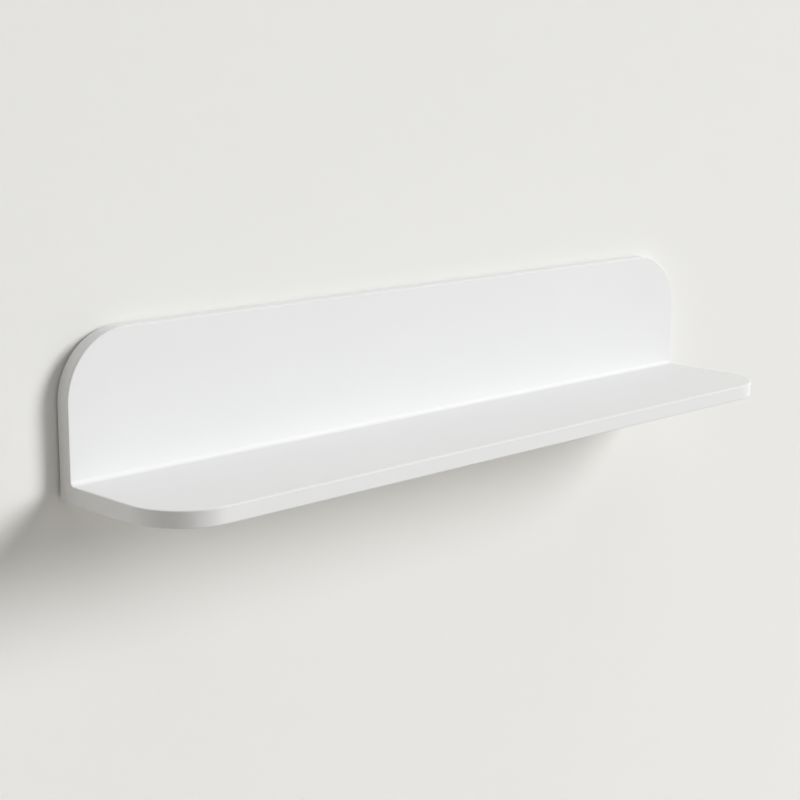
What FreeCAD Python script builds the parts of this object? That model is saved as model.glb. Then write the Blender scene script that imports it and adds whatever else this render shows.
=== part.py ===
import FreeCAD, Part
import math
import os
import Sketcher
from FreeCAD import Vector

# Floating wall shelf: two lacquered boards joined in an L, hung on two wall screws by keyhole plates.
# Millimetres. X runs along the shelf, +Y into the wall and +Z up. The origin lies on the wall plane,
# midway between the two wall screws, at their height.

DIMENSIONS = {
    # Boards
    "length": 600,
    "height": 104,
    "depth": 110,
    "board": 11,
    "top_corner": 44,
    "front_corner": 40,
    "cove": 3,
    "bead_leg": 2.5,
    "heel": 3,
    "arris": 1,
    # Hanging
    "wall_gap": 1.5,
    "screw_rise": 76,
    "screw_span": 400,
    "keyhole_travel": 10,
    "entry_radius": 5,
    "slot_radius": 2.5,
    "hang_slack": 0.1,
    "pocket_radius": 6,
    "pocket_depth": 5.5,
    # Keyhole plates
    "plate_height": 48,
    "plate_width": 18,
    "plate_gauge": 1.5,
    "plate_slack": 0.2,
    "plate_hole_reach": 18,
    "entry_drop": 6,
    # Wall screws
    "wall_neck_radius": 2,
    "wall_thread_radius": 2.25,
    "wall_screw_length": 40,
    "wall_tip_length": 6,
    "wall_head_radius": 4.3,
    "wall_head_height": 3,
    "wall_head_dome": 1.8,
    "wall_head_slack": 0.3,
    "wall_cross_reach": 2.4,
    # Joint between the boards
    "joint_pitch": 110,
    "joint_screw_count": 5,
    "joint_screw_radius": 1.75,
    "joint_screw_length": 35,
    "joint_tip_length": 5,
    "joint_head_radius": 3.5,
    "joint_cross_reach": 1.9,
    "joint_head_sink": 0.3,
    "dowel_count": 6,
    "dowel_radius": 2.5,
    "dowel_length": 30,
    "dowel_in_panel": 7.5,
    "dowel_chamfer": 0.6,
    "bore_slack": 0.05,
    "bore_spare": 0.5,
    # Plate screws
    "hanger_screw_radius": 1.5,
    "hanger_screw_length": 8,
    "hanger_tip_length": 2.5,
    "hanger_head_radius": 2.9,
    "hanger_cross_reach": 1.6,
    # Cross recesses in all the screw heads
    "cross_half_width": 0.45,
    "cross_depth": 1.4,
    # Wall bumpers
    "bumper_radius": 5,
    "bumper_round": 0.5,
    "bumper_inset": 28,
    "bumper_low_rise": 14,
    "bumper_top_drop": 20,
}

# Places worked out from the driving dimensions, as expressions
UNDERSIDE = "-Dims.screw_rise"
TOP = "(Dims.height - Dims.screw_rise)"
SHELF_TOP = "(Dims.board - Dims.screw_rise)"
BOARD_MIDDLE = "(Dims.board / 2 - Dims.screw_rise)"
PANEL_BACK = "-Dims.wall_gap"
PANEL_FACE = "-(Dims.wall_gap + Dims.board)"
FRONT = "-(Dims.wall_gap + Dims.depth)"
HALF_LENGTH = "(Dims.length / 2)"
HALF_SPAN = "(Dims.screw_span / 2)"
SLOT_END = "(Dims.wall_neck_radius + Dims.hang_slack - Dims.slot_radius)"
ENTRY = f"({SLOT_END} - Dims.keyhole_travel)"
PLATE_MIDDLE = f"({ENTRY} + Dims.entry_drop)"
PLATE_INNER = "-(Dims.wall_gap + Dims.plate_gauge)"
HALF_PLATE_RUN = "(Dims.plate_height / 2 - Dims.plate_width / 2)"

SPARE = 1.0
SHARP_ANGLE = math.radians(10)
SAME_PLACE = 0.01
PARALLEL = 0.999

doc = FreeCAD.newDocument("wall_shelf")
sheet = doc.addObject("Spreadsheet::Sheet", "Dims")
for row, (alias, number) in enumerate(DIMENSIONS.items(), start=1):
    sheet.set(f"A{row}", alias)
    sheet.set(f"B{row}", str(number))
    sheet.setAlias(f"B{row}", alias)
doc.recompute()


def value(expression):
    """The number that an expression of sheet cells gives now."""
    return float(sheet.evalExpression(expression))


def bind(obj, bindings):
    """Bind an object's properties to expressions of sheet cells."""
    for path, expression in bindings.items():
        obj.setExpression(path, expression)


def place(obj, x="0", y="0", z="0"):
    """Bind an object's place."""
    bind(obj, {"Placement.Base.x": x, "Placement.Base.y": y, "Placement.Base.z": z})


def origin_feature(body, role):
    """One of a body's own origin planes or axes."""
    return next(feature for feature in body.Origin.OriginFeatures if feature.Role == role)


def new_body(label, base=None, many=False):
    """A body, started from a base shape or empty, that may hold several separate solids."""
    body = doc.addObject("PartDesign::Body", label)
    body.Label = label
    body.AllowCompound = many
    if base is not None:
        body.BaseFeature = base
        doc.recompute()
    return body


# Sketches

def new_sketch(body, name, plane, offset="0"):
    """A sketch on one of the body's origin planes, moved along the plane's normal."""
    sketch = body.newObject("Sketcher::SketchObject", name)
    sketch.AttachmentSupport = [(origin_feature(body, plane), "")]
    sketch.MapMode = "FlatFace"
    bind(sketch, {"AttachmentOffset.Base.z": offset})
    return sketch


def pin(sketch, shape, point, x, y):
    """Hold one point of a sketch at (x, y)."""
    for kind, expression in (("DistanceX", x), ("DistanceY", y)):
        constraint = Sketcher.Constraint(kind, -1, 1, shape, point, value(expression))
        index = sketch.addConstraint(constraint)
        bind(sketch, {f"Constraints[{index}]": expression})


def set_radius(sketch, shape, radius):
    """Hold the radius of a circle or arc."""
    index = sketch.addConstraint(Sketcher.Constraint("Radius", shape, value(radius)))
    bind(sketch, {f"Constraints[{index}]": radius})


def draw_polygon(sketch, corners):
    """A closed outline of straight lines through the corners."""
    points = [Vector(value(x), value(y), 0) for x, y in corners]
    ends = points[1:] + points[:1]
    lines = [sketch.addGeometry(Part.LineSegment(start, end)) for start, end in zip(points, ends)]
    for line, following in zip(lines, lines[1:] + lines[:1]):
        sketch.addConstraint(Sketcher.Constraint("Coincident", line, 2, following, 1))
    for line, (x, y) in zip(lines, corners):
        pin(sketch, line, 1, x, y)


def draw_circle(sketch, x, y, radius):
    """A circle about (x, y)."""
    centre = Vector(value(x), value(y), 0)
    circle = sketch.addGeometry(Part.Circle(centre, Vector(0, 0, 1), value(radius)))
    pin(sketch, circle, 3, x, y)
    set_radius(sketch, circle, radius)


def draw_slot(sketch, x, low, high, radius):
    """An upright slot with round ends centred at heights low and high."""
    centre_x = value(x)
    reach = value(radius)
    top_centre = Vector(centre_x, value(high), 0)
    foot_centre = Vector(centre_x, value(low), 0)
    side = Vector(reach, 0, 0)
    up = Vector(0, 0, 1)
    top = sketch.addGeometry(Part.ArcOfCircle(Part.Circle(top_centre, up, reach), 0, math.pi))
    left = sketch.addGeometry(Part.LineSegment(top_centre - side, foot_centre - side))
    foot = sketch.addGeometry(Part.ArcOfCircle(Part.Circle(foot_centre, up, reach), math.pi, 2 * math.pi))
    right = sketch.addGeometry(Part.LineSegment(foot_centre + side, top_centre + side))
    round_trip = [top, left, foot, right]
    for shape, following in zip(round_trip, round_trip[1:] + round_trip[:1]):
        sketch.addConstraint(Sketcher.Constraint("Tangent", shape, 2, following, 1))
    sketch.addConstraint(Sketcher.Constraint("Equal", top, foot))
    pin(sketch, top, 3, x, high)
    pin(sketch, foot, 3, x, low)
    set_radius(sketch, top, radius)


def draw_cross(sketch, reach):
    """The plus-shaped outline of a cross recess."""
    width = "Dims.cross_half_width"
    quarter = [(width, reach), (width, width), (reach, width)]
    draw_polygon(sketch, [turn_clockwise(corner, turn) for turn in range(4) for corner in quarter])


def turn_clockwise(corner, quarters):
    """A corner turned clockwise about the origin by quarter turns."""
    x, y = corner
    for _ in range(quarters):
        x, y = y, f"-({x})"
    return x, y


# Features

def pad(body, sketch, length, symmetric=False):
    """Thicken a sketch into a solid."""
    feature = body.newObject("PartDesign::Pad", sketch.Name + "_pad")
    feature.Profile = sketch
    feature.SideType = "Symmetric" if symmetric else "One side"
    bind(feature, {"Length": length})
    doc.recompute()
    return feature


def pocket(body, sketch, depth, towards_front):
    """Cut a sketch on an upright plane into the solid, towards the front or towards the wall."""
    before = body.Shape.Volume
    feature = body.newObject("PartDesign::Pocket", sketch.Name + "_pocket")
    feature.Profile = sketch
    feature.Reversed = towards_front
    feature.Refine = False
    bind(feature, {"Length": depth})
    doc.recompute()
    if not body.Shape.Volume < before:
        raise RuntimeError(f"{feature.Name} cuts nothing from {body.Label}")
    return feature


def revolve(body, sketch):
    """Turn a half outline about the sketch's upright axis."""
    feature = body.newObject("PartDesign::Revolution", sketch.Name + "_turned")
    feature.Profile = sketch
    feature.ReferenceAxis = (sketch, ["V_Axis"])
    feature.Angle = 360
    doc.recompute()
    return feature


def edges_where(shape, test):
    """Names of the edges that pass a test."""
    return [f"Edge{index}" for index, edge in enumerate(shape.Edges, start=1) if test(edge)]


def dress_edges(body, kind, name, test, size_property, size):
    """Fillet or chamfer the edges of a body that pass a test."""
    base = body.Tip
    edges = edges_where(base.Shape, test)
    if not edges:
        raise RuntimeError(f"{name} finds no edge on {body.Label}")
    feature = body.newObject(kind, name)
    feature.Base = (base, edges)
    bind(feature, {size_property: size})
    doc.recompute()
    return feature


def fillet(body, name, test, radius):
    return dress_edges(body, "PartDesign::Fillet", name, test, "Radius", radius)


def chamfer(body, name, test, size):
    return dress_edges(body, "PartDesign::Chamfer", name, test, "Size", size)


def repeat_along(body, name, length, count, rise=None, rows="1"):
    """Repeat the whole body along X, spread evenly over a length, and in rows along Z over a rise."""
    feature = body.newObject("PartDesign::LinearPattern", name)
    feature.TransformMode = "Whole shape"
    feature.Direction = (origin_feature(body, "X_Axis"), [""])
    bind(feature, {"Length": length, "Occurrences": count})
    if rise:
        feature.Direction2 = (origin_feature(body, "Z_Axis"), [""])
        bind(feature, {"Length2": rise, "Occurrences2": rows})
    body.Tip = feature


# Tests that pick edges

def edge_middle(edge):
    return edge.valueAt((edge.FirstParameter + edge.LastParameter) / 2)


def straight_along(edge, direction):
    if not isinstance(edge.Curve, Part.Line):
        return False
    return abs(edge.Curve.Direction.dot(direction)) > PARALLEL


def near(number, expression):
    return abs(number - value(expression)) < SAME_PLACE


def is_sharp(shape, edge):
    """Whether the two faces beside an edge meet at an angle."""
    faces = shape.ancestorsOfType(edge, Part.Face)
    middle = edge_middle(edge)
    normals = [face.normalAt(*face.Surface.parameter(middle)) for face in faces]
    return len(normals) == 2 and normals[0].getAngle(normals[1]) > SHARP_ANGLE


# The whole L with its rounded corners and eased edges, as it is after gluing and sanding

def make_form():
    form = new_body("glued_form")
    profile = new_sketch(form, "form_profile", "YZ_Plane")
    draw_polygon(profile, [
        (PANEL_BACK, UNDERSIDE),
        (PANEL_BACK, TOP),
        (PANEL_FACE, TOP),
        (PANEL_FACE, SHELF_TOP),
        (FRONT, SHELF_TOP),
        (FRONT, UNDERSIDE),
    ])
    pad(form, profile, "Dims.length", symmetric=True)

    along, across, upright = Vector(1, 0, 0), Vector(0, 1, 0), Vector(0, 0, 1)

    def is_inside_corner(edge):
        middle = edge_middle(edge)
        return straight_along(edge, along) and near(middle.y, PANEL_FACE) and near(middle.z, SHELF_TOP)

    def is_heel(edge):
        middle = edge_middle(edge)
        return straight_along(edge, along) and near(middle.y, PANEL_BACK) and near(middle.z, UNDERSIDE)

    def is_top_corner(edge):
        return straight_along(edge, across) and near(edge_middle(edge).z, TOP)

    def is_front_corner(edge):
        return straight_along(edge, upright) and near(edge_middle(edge).y, FRONT)

    fillet(form, "cove_round", is_inside_corner, "Dims.cove")
    fillet(form, "heel_round", is_heel, "Dims.heel")
    fillet(form, "top_corner_round", is_top_corner, "Dims.top_corner")
    fillet(form, "front_corner_round", is_front_corner, "Dims.front_corner")
    sharp_shape = form.Tip.Shape
    fillet(form, "arris_round", lambda edge: is_sharp(sharp_shape, edge), "Dims.arris")
    return form


def part_of_form(form, name, low_y, high_y, low_z, high_z):
    """The share of the glued form that lies in one board's space."""
    space = doc.addObject("Part::Box", name + "_space")
    bind(space, {
        "Length": f"Dims.length + {2 * SPARE}",
        "Width": f"{high_y} - ({low_y})",
        "Height": f"{high_z} - ({low_z})",
    })
    place(space, f"-{HALF_LENGTH} - {SPARE}", low_y, low_z)
    share = doc.addObject("Part::Common", name)
    share.Base = form
    share.Tool = space
    share.Refine = False
    doc.recompute()
    return share


# Places that repeat

def spread(count_cell, pitch_cell):
    """Even places along the shelf, centred on its middle, as expressions."""
    count = int(value(f"Dims.{count_cell}"))
    return [f"({2 * index - count + 1} * Dims.{pitch_cell} / 2)" for index in range(count)]


SIDES = {"left": f"-{HALF_SPAN}", "right": HALF_SPAN}
DOWEL_PLACES = spread("dowel_count", "joint_pitch")
JOINT_SCREW_PLACES = spread("joint_screw_count", "joint_pitch")
PLATE_SCREW_HEIGHTS = [
    f"({PLATE_MIDDLE} - Dims.plate_hole_reach)",
    f"({PLATE_MIDDLE} + Dims.plate_hole_reach)",
]


# Boards

def make_back_panel(form):
    low_z, high_z = f"{UNDERSIDE} - {SPARE}", f"{TOP} + {SPARE}"
    blank = part_of_form(form, "panel_blank", PANEL_FACE, f"{PANEL_BACK} + {SPARE}", low_z, high_z)
    panel = new_body("back_panel", blank)
    back_offset = "Dims.wall_gap"
    seat_offset = "Dims.wall_gap + Dims.plate_gauge"
    face_offset = "Dims.wall_gap + Dims.board"

    seats = new_sketch(panel, "plate_seats", "XZ_Plane", back_offset)
    pockets = new_sketch(panel, "head_pockets", "XZ_Plane", seat_offset)
    pilots = new_sketch(panel, "plate_pilots", "XZ_Plane", seat_offset)
    for x in SIDES.values():
        low = f"({PLATE_MIDDLE} - {HALF_PLATE_RUN})"
        high = f"({PLATE_MIDDLE} + {HALF_PLATE_RUN})"
        draw_slot(seats, x, low, high, "Dims.plate_width / 2 + Dims.plate_slack")
        draw_slot(pockets, x, ENTRY, SLOT_END, "Dims.pocket_radius")
        for z in PLATE_SCREW_HEIGHTS:
            draw_circle(pilots, x, z, "Dims.hanger_screw_radius + Dims.bore_slack")
    pocket(panel, seats, "Dims.plate_gauge", towards_front=True)
    pocket(panel, pockets, "Dims.pocket_depth", towards_front=True)
    pilot_depth = "Dims.hanger_screw_length - Dims.plate_gauge + Dims.bore_spare"
    pocket(panel, pilots, pilot_depth, towards_front=True)

    bores = new_sketch(panel, "screw_bores", "XZ_Plane", back_offset)
    for x in JOINT_SCREW_PLACES:
        draw_circle(bores, x, BOARD_MIDDLE, "Dims.joint_screw_radius + Dims.bore_slack")
    pocket(panel, bores, f"Dims.board + {SPARE}", towards_front=True)

    def is_bore_mouth(edge):
        if not isinstance(edge.Curve, Part.Circle):
            return False
        on_back = near(edge.Curve.Center.y, PANEL_BACK)
        return on_back and near(edge.Curve.Radius, "Dims.joint_screw_radius + Dims.bore_slack")

    sink = "Dims.joint_head_radius - Dims.joint_screw_radius + Dims.joint_head_sink"
    chamfer(panel, "screw_countersinks", is_bore_mouth, sink)

    sockets = new_sketch(panel, "panel_dowel_sockets", "XZ_Plane", face_offset)
    for x in DOWEL_PLACES:
        draw_circle(sockets, x, BOARD_MIDDLE, "Dims.dowel_radius + Dims.bore_slack")
    pocket(panel, sockets, "Dims.dowel_in_panel + Dims.bore_spare", towards_front=False)
    return panel


def make_shelf_board(form):
    low_y, low_z = f"{FRONT} - {SPARE}", f"{UNDERSIDE} - {SPARE}"
    blank = part_of_form(form, "shelf_blank", low_y, PANEL_FACE, low_z, SHELF_TOP)
    shelf = new_body("shelf_board", blank)
    face_offset = "Dims.wall_gap + Dims.board"

    sockets = new_sketch(shelf, "shelf_dowel_sockets", "XZ_Plane", face_offset)
    for x in DOWEL_PLACES:
        draw_circle(sockets, x, BOARD_MIDDLE, "Dims.dowel_radius + Dims.bore_slack")
    pocket(shelf, sockets, "Dims.dowel_length - Dims.dowel_in_panel + Dims.bore_spare", towards_front=True)

    pilots = new_sketch(shelf, "shelf_screw_pilots", "XZ_Plane", face_offset)
    for x in JOINT_SCREW_PLACES:
        draw_circle(pilots, x, BOARD_MIDDLE, "Dims.joint_screw_radius + Dims.bore_slack")
    pilot_depth = "Dims.joint_head_sink + Dims.joint_screw_length - Dims.board + Dims.bore_spare"
    pocket(shelf, pilots, pilot_depth, towards_front=True)
    return shelf


def make_cove_bead(form):
    low_y, high_z = f"{PANEL_FACE} - Dims.bead_leg", f"{SHELF_TOP} + Dims.bead_leg"
    return part_of_form(form, "cove_bead", low_y, PANEL_FACE, SHELF_TOP, high_z)


# Joinery and fasteners

def make_dowel(index, x):
    dowel = new_body(f"joint_dowel_{index}")
    section = new_sketch(dowel, f"dowel_section_{index}", "XZ_Plane")
    draw_circle(section, "0", "0", "Dims.dowel_radius")
    pad(dowel, section, "Dims.dowel_length")

    def is_end_rim(edge):
        return isinstance(edge.Curve, Part.Circle)

    chamfer(dowel, f"dowel_ends_{index}", is_end_rim, "Dims.dowel_chamfer")
    place(dowel, x, f"{PANEL_FACE} + Dims.dowel_in_panel", BOARD_MIDDLE)
    return dowel


def turn_countersunk_screw(body, name, head_radius, shank_radius, length, tip):
    """One countersunk screw: its head's flat face at the body's origin, its tip towards the front."""
    outline = new_sketch(body, name + "_outline", "XY_Plane")
    draw_polygon(outline, [
        ("0", "0"),
        (head_radius, "0"),
        (shank_radius, f"-({head_radius} - {shank_radius})"),
        (shank_radius, f"-({length} - {tip})"),
        ("0", f"-({length})"),
    ])
    revolve(body, outline)


def make_joint_screws():
    screws = new_body("joint_screws", many=True)
    turn_countersunk_screw(
        screws, "joint_screw", "Dims.joint_head_radius", "Dims.joint_screw_radius",
        "Dims.joint_screw_length", "Dims.joint_tip_length",
    )
    cross = new_sketch(screws, "joint_screw_cross", "XZ_Plane")
    draw_cross(cross, "Dims.joint_cross_reach")
    pocket(screws, cross, "Dims.cross_depth", towards_front=True)
    run = "(Dims.joint_screw_count - 1) * Dims.joint_pitch"
    repeat_along(screws, "joint_screw_row", run, "Dims.joint_screw_count")
    place(screws, JOINT_SCREW_PLACES[0], f"{PANEL_BACK} - Dims.joint_head_sink", BOARD_MIDDLE)
    return screws


def make_hanger_screws():
    screws = new_body("hanger_screws", many=True)
    turn_countersunk_screw(
        screws, "hanger_screw", "Dims.hanger_head_radius", "Dims.hanger_screw_radius",
        "Dims.hanger_screw_length", "Dims.hanger_tip_length",
    )
    cross = new_sketch(screws, "hanger_screw_cross", "XZ_Plane")
    draw_cross(cross, "Dims.hanger_cross_reach")
    pocket(screws, cross, "Dims.cross_depth", towards_front=True)
    repeat_along(screws, "hanger_screw_grid", "Dims.screw_span", "2", "2 * Dims.plate_hole_reach", "2")
    place(screws, SIDES["left"], PANEL_BACK, PLATE_SCREW_HEIGHTS[0])
    return screws


def make_hanger_plate(side, x):
    plate = new_body(f"hanger_plate_{side}")
    outline = new_sketch(plate, f"plate_outline_{side}", "XZ_Plane")
    draw_slot(outline, "0", f"-{HALF_PLATE_RUN}", HALF_PLATE_RUN, "Dims.plate_width / 2")
    pad(plate, outline, "Dims.plate_gauge")

    entry_height = "-Dims.entry_drop"
    entry = new_sketch(plate, f"keyhole_entry_{side}", "XZ_Plane")
    draw_circle(entry, "0", entry_height, "Dims.entry_radius")
    pocket(plate, entry, "Dims.plate_gauge", towards_front=True)
    slot = new_sketch(plate, f"keyhole_slot_{side}", "XZ_Plane")
    draw_slot(slot, "0", entry_height, "Dims.keyhole_travel - Dims.entry_drop", "Dims.slot_radius")
    pocket(plate, slot, "Dims.plate_gauge", towards_front=True)

    hole_radius = "Dims.hanger_screw_radius + Dims.bore_slack"
    holes = new_sketch(plate, f"plate_holes_{side}", "XZ_Plane")
    for height in ("-Dims.plate_hole_reach", "Dims.plate_hole_reach"):
        draw_circle(holes, "0", height, hole_radius)
    pocket(plate, holes, "Dims.plate_gauge", towards_front=True)

    def is_hole_mouth(edge):
        if not isinstance(edge.Curve, Part.Circle):
            return False
        return near(edge.Curve.Center.y, "0") and near(edge.Curve.Radius, hole_radius)

    sink = "Dims.hanger_head_radius - Dims.hanger_screw_radius"
    chamfer(plate, f"plate_countersinks_{side}", is_hole_mouth, sink)
    place(plate, x, PANEL_BACK, PLATE_MIDDLE)
    return plate


def make_wall_bumper(index, x, z):
    bumper = new_body(f"wall_bumper_{index}")
    section = new_sketch(bumper, f"bumper_section_{index}", "XZ_Plane")
    draw_circle(section, "0", "0", "Dims.bumper_radius")
    pad(bumper, section, "Dims.wall_gap")

    def is_wall_rim(edge):
        return isinstance(edge.Curve, Part.Circle) and near(edge.Curve.Center.y, "0")

    fillet(bumper, f"bumper_rim_{index}", is_wall_rim, "Dims.bumper_round")
    place(bumper, x, "0", z)
    return bumper


def make_wall_screws():
    screws = new_body("wall_screws", many=True)
    bearing = f"({PLATE_INNER} - Dims.wall_head_slack)"
    head_top = f"({bearing} - Dims.wall_head_height)"
    tip = f"({bearing} + Dims.wall_screw_length)"
    outline = new_sketch(screws, "wall_screw_outline", "XY_Plane")
    draw_polygon(outline, [
        ("0", head_top),
        ("Dims.wall_head_radius", head_top),
        ("Dims.wall_head_radius", bearing),
        ("Dims.wall_neck_radius", bearing),
        ("Dims.wall_neck_radius", "0"),
        ("Dims.wall_thread_radius", "0"),
        ("Dims.wall_thread_radius", f"{tip} - Dims.wall_tip_length"),
        ("0", tip),
    ])
    revolve(screws, outline)

    def is_head_rim(edge):
        return isinstance(edge.Curve, Part.Circle) and near(edge.Curve.Center.y, head_top)

    fillet(screws, "wall_head_dome", is_head_rim, "Dims.wall_head_dome")
    cross = new_sketch(screws, "wall_screw_cross", "XZ_Plane", f"-({head_top})")
    draw_cross(cross, "Dims.wall_cross_reach")
    pocket(screws, cross, "Dims.cross_depth", towards_front=False)
    repeat_along(screws, "wall_screw_pair", "Dims.screw_span", "2")
    place(screws, SIDES["left"])
    return screws


# Assembly

def make_nodes():
    form = make_form()
    nodes = [make_back_panel(form), make_shelf_board(form), make_cove_bead(form)]
    for index, x in enumerate(DOWEL_PLACES, start=1):
        nodes.append(make_dowel(index, x))
    nodes.append(make_joint_screws())
    for side, x in SIDES.items():
        nodes.append(make_hanger_plate(side, x))
    nodes.append(make_hanger_screws())
    bumper_x = f"({HALF_LENGTH} - Dims.bumper_inset)"
    low = f"({UNDERSIDE} + Dims.bumper_low_rise)"
    high = f"({TOP} - Dims.bumper_top_drop)"
    corners = [(f"-{bumper_x}", low), (bumper_x, low), (f"-{bumper_x}", high), (bumper_x, high)]
    for index, (x, z) in enumerate(corners, start=1):
        nodes.append(make_wall_bumper(index, x, z))
    nodes.append(make_wall_screws())
    return nodes


def check(nodes):
    """Stop if an object failed or a node's shape isn't sound."""
    for obj in doc.Objects:
        if "Invalid" in obj.State or "Error" in obj.State:
            raise RuntimeError(f"{obj.Name} failed: {obj.State}")
    for node in nodes:
        if node.Shape.isNull() or not node.Shape.isValid() or not node.Shape.Solids:
            raise RuntimeError(f"{node.Label} has no sound solid")


nodes = make_nodes()
doc.recompute()
check(nodes)
os.makedirs("parts", exist_ok=True)
for node in nodes:
    node.Shape.exportStep(f"parts/{node.Label}.step")
    box = node.Shape.optimalBoundingBox(False)
    size = f"{box.XLength:.2f} x {box.YLength:.2f} x {box.ZLength:.2f}"
    print(f"{node.Label}: {len(node.Shape.Solids)} solids, {size} mm, {node.Shape.Volume:.1f} mm3")
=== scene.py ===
import math
from functools import partial

import bmesh
import bpy
from bpy.props import FloatProperty, FloatVectorProperty, IntProperty, PointerProperty
from mathutils import Matrix, Vector


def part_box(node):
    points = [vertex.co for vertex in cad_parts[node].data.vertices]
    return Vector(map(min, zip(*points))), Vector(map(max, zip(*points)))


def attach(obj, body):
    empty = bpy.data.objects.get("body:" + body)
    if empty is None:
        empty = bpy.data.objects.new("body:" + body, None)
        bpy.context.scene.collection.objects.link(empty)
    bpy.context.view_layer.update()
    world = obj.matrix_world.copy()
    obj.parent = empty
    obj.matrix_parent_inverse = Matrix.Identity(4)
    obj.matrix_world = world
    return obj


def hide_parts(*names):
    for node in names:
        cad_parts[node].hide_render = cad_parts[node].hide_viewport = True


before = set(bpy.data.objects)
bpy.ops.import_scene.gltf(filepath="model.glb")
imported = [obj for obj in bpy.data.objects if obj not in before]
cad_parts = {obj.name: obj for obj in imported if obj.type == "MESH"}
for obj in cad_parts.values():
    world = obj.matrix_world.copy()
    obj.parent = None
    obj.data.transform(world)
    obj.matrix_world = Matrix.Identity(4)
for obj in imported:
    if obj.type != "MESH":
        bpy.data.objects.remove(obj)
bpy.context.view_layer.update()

bl_info = {
    "name": "White Wall Shelf",
    "version": (1, 0, 0),
    "blender": (4, 5, 0),
    "location": "3D View > Sidebar > Shelf",
    "description": "Builds a lacquered wall shelf with its hidden fixings, and a plain stage for it",
    "category": "Object",
}

# Metres. X runs along the shelf, +Y into the wall and +Z up; the wall's surface is at Y = 0.
MM = 0.001
DEGREE = math.radians(1)
QUARTER_TURN = math.pi / 2
# How far a cutter stands past the surface that it cuts
SPARE = 1 * MM
# Vertices nearer than this are one
SAME_PLACE = 0.0002 * MM
# Edges that turn by more than this stay sharp
SHARP_ANGLE = 32 * DEGREE


def corners(node):
    """A node's lowest and highest corners, to the nearest micrometre."""
    return [Vector([round(number, 6) for number in corner]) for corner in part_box(node)]


def middle(node):
    """The middle of a node's box."""
    low, high = corners(node)
    return (low + high) / 2


def extent(node):
    """The size of a node's box."""
    low, high = corners(node)
    return high - low


# Places that the packed model gives
PANEL_LOW, PANEL_HIGH = corners("back_panel")
UNDERSIDE = PANEL_LOW.z
PANEL_BACK = PANEL_HIGH.y
DOWELS, BUMPERS, PLATES = (
    sorted(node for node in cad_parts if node.startswith(start))
    for start in ("joint_dowel", "wall_bumper", "hanger_plate")
)
WALL_SCREW_SPAN = middle(PLATES[1]).x - middle(PLATES[0]).x
JOINT_PITCH = middle(DOWELS[1]).x - middle(DOWELS[0]).x
# Joint screws stand between the dowels
JOINT_SCREWS = len(DOWELS) - 1


# Settings

def setting_of(kind, **limits):
    """A maker of settings of one kind, each with a name, a description and a default."""

    def make(name, description, default):
        return kind(name=name, description=description, default=default, **limits)

    return make


size_setting = setting_of(FloatProperty, min=0, precision=5, unit="LENGTH")
share_setting = setting_of(FloatProperty, min=0, max=1, subtype="FACTOR")
angle_setting = setting_of(FloatProperty, subtype="ANGLE")
power_setting = setting_of(FloatProperty, min=0, unit="POWER")
lens_setting = setting_of(FloatProperty, min=1, unit="CAMERA")
count_setting = setting_of(IntProperty, min=1)
colour_setting = setting_of(FloatVectorProperty, min=0, max=1, size=3, subtype="COLOR")
place_setting = setting_of(FloatVectorProperty, subtype="TRANSLATION", unit="LENGTH")


class ShelfBoardSizes(bpy.types.PropertyGroup):
    """Sizes of the two boards, their rounded corners and their eased edges"""

    length: size_setting("Length", "Along the wall", PANEL_HIGH.x - PANEL_LOW.x)
    height: size_setting("Height", "From the underside to the panel's top", PANEL_HIGH.z - PANEL_LOW.z)
    depth: size_setting(
        "Depth", "From the panel's back to the front edge", PANEL_HIGH.y - corners("shelf_board")[0].y
    )
    thickness: size_setting("Thickness", "Of both boards", PANEL_HIGH.y - PANEL_LOW.y)
    top_corner: size_setting("Top Corner", "Radius of the panel's top corners", 44 * MM)
    front_corner: size_setting("Front Corner", "Radius of the board's front corners", 40 * MM)
    cove: size_setting("Cove", "Radius of the inside corner", 3 * MM)
    heel: size_setting("Heel", "Radius of the lower rear edge", 3 * MM)
    arris: size_setting("Arris", "Radius of the eased edges", 1 * MM)
    corner_facets: count_setting("Corner Facets", "Facets in a rounded corner", 48)
    bend_facets: count_setting("Bend Facets", "Facets in the cove and in the heel", 12)
    arris_facets: count_setting("Arris Facets", "Facets in an eased edge", 6)

    @property
    def joint(self):
        """Depth of the panel's face, where the board butts against it."""
        return PANEL_BACK - self.thickness

    @property
    def joint_height(self):
        """Height of the dowels and screws, in the middle of the board."""
        return UNDERSIDE + self.thickness / 2

    @property
    def shelf_top(self):
        """Height of the board's upper face."""
        return UNDERSIDE + self.thickness


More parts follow.
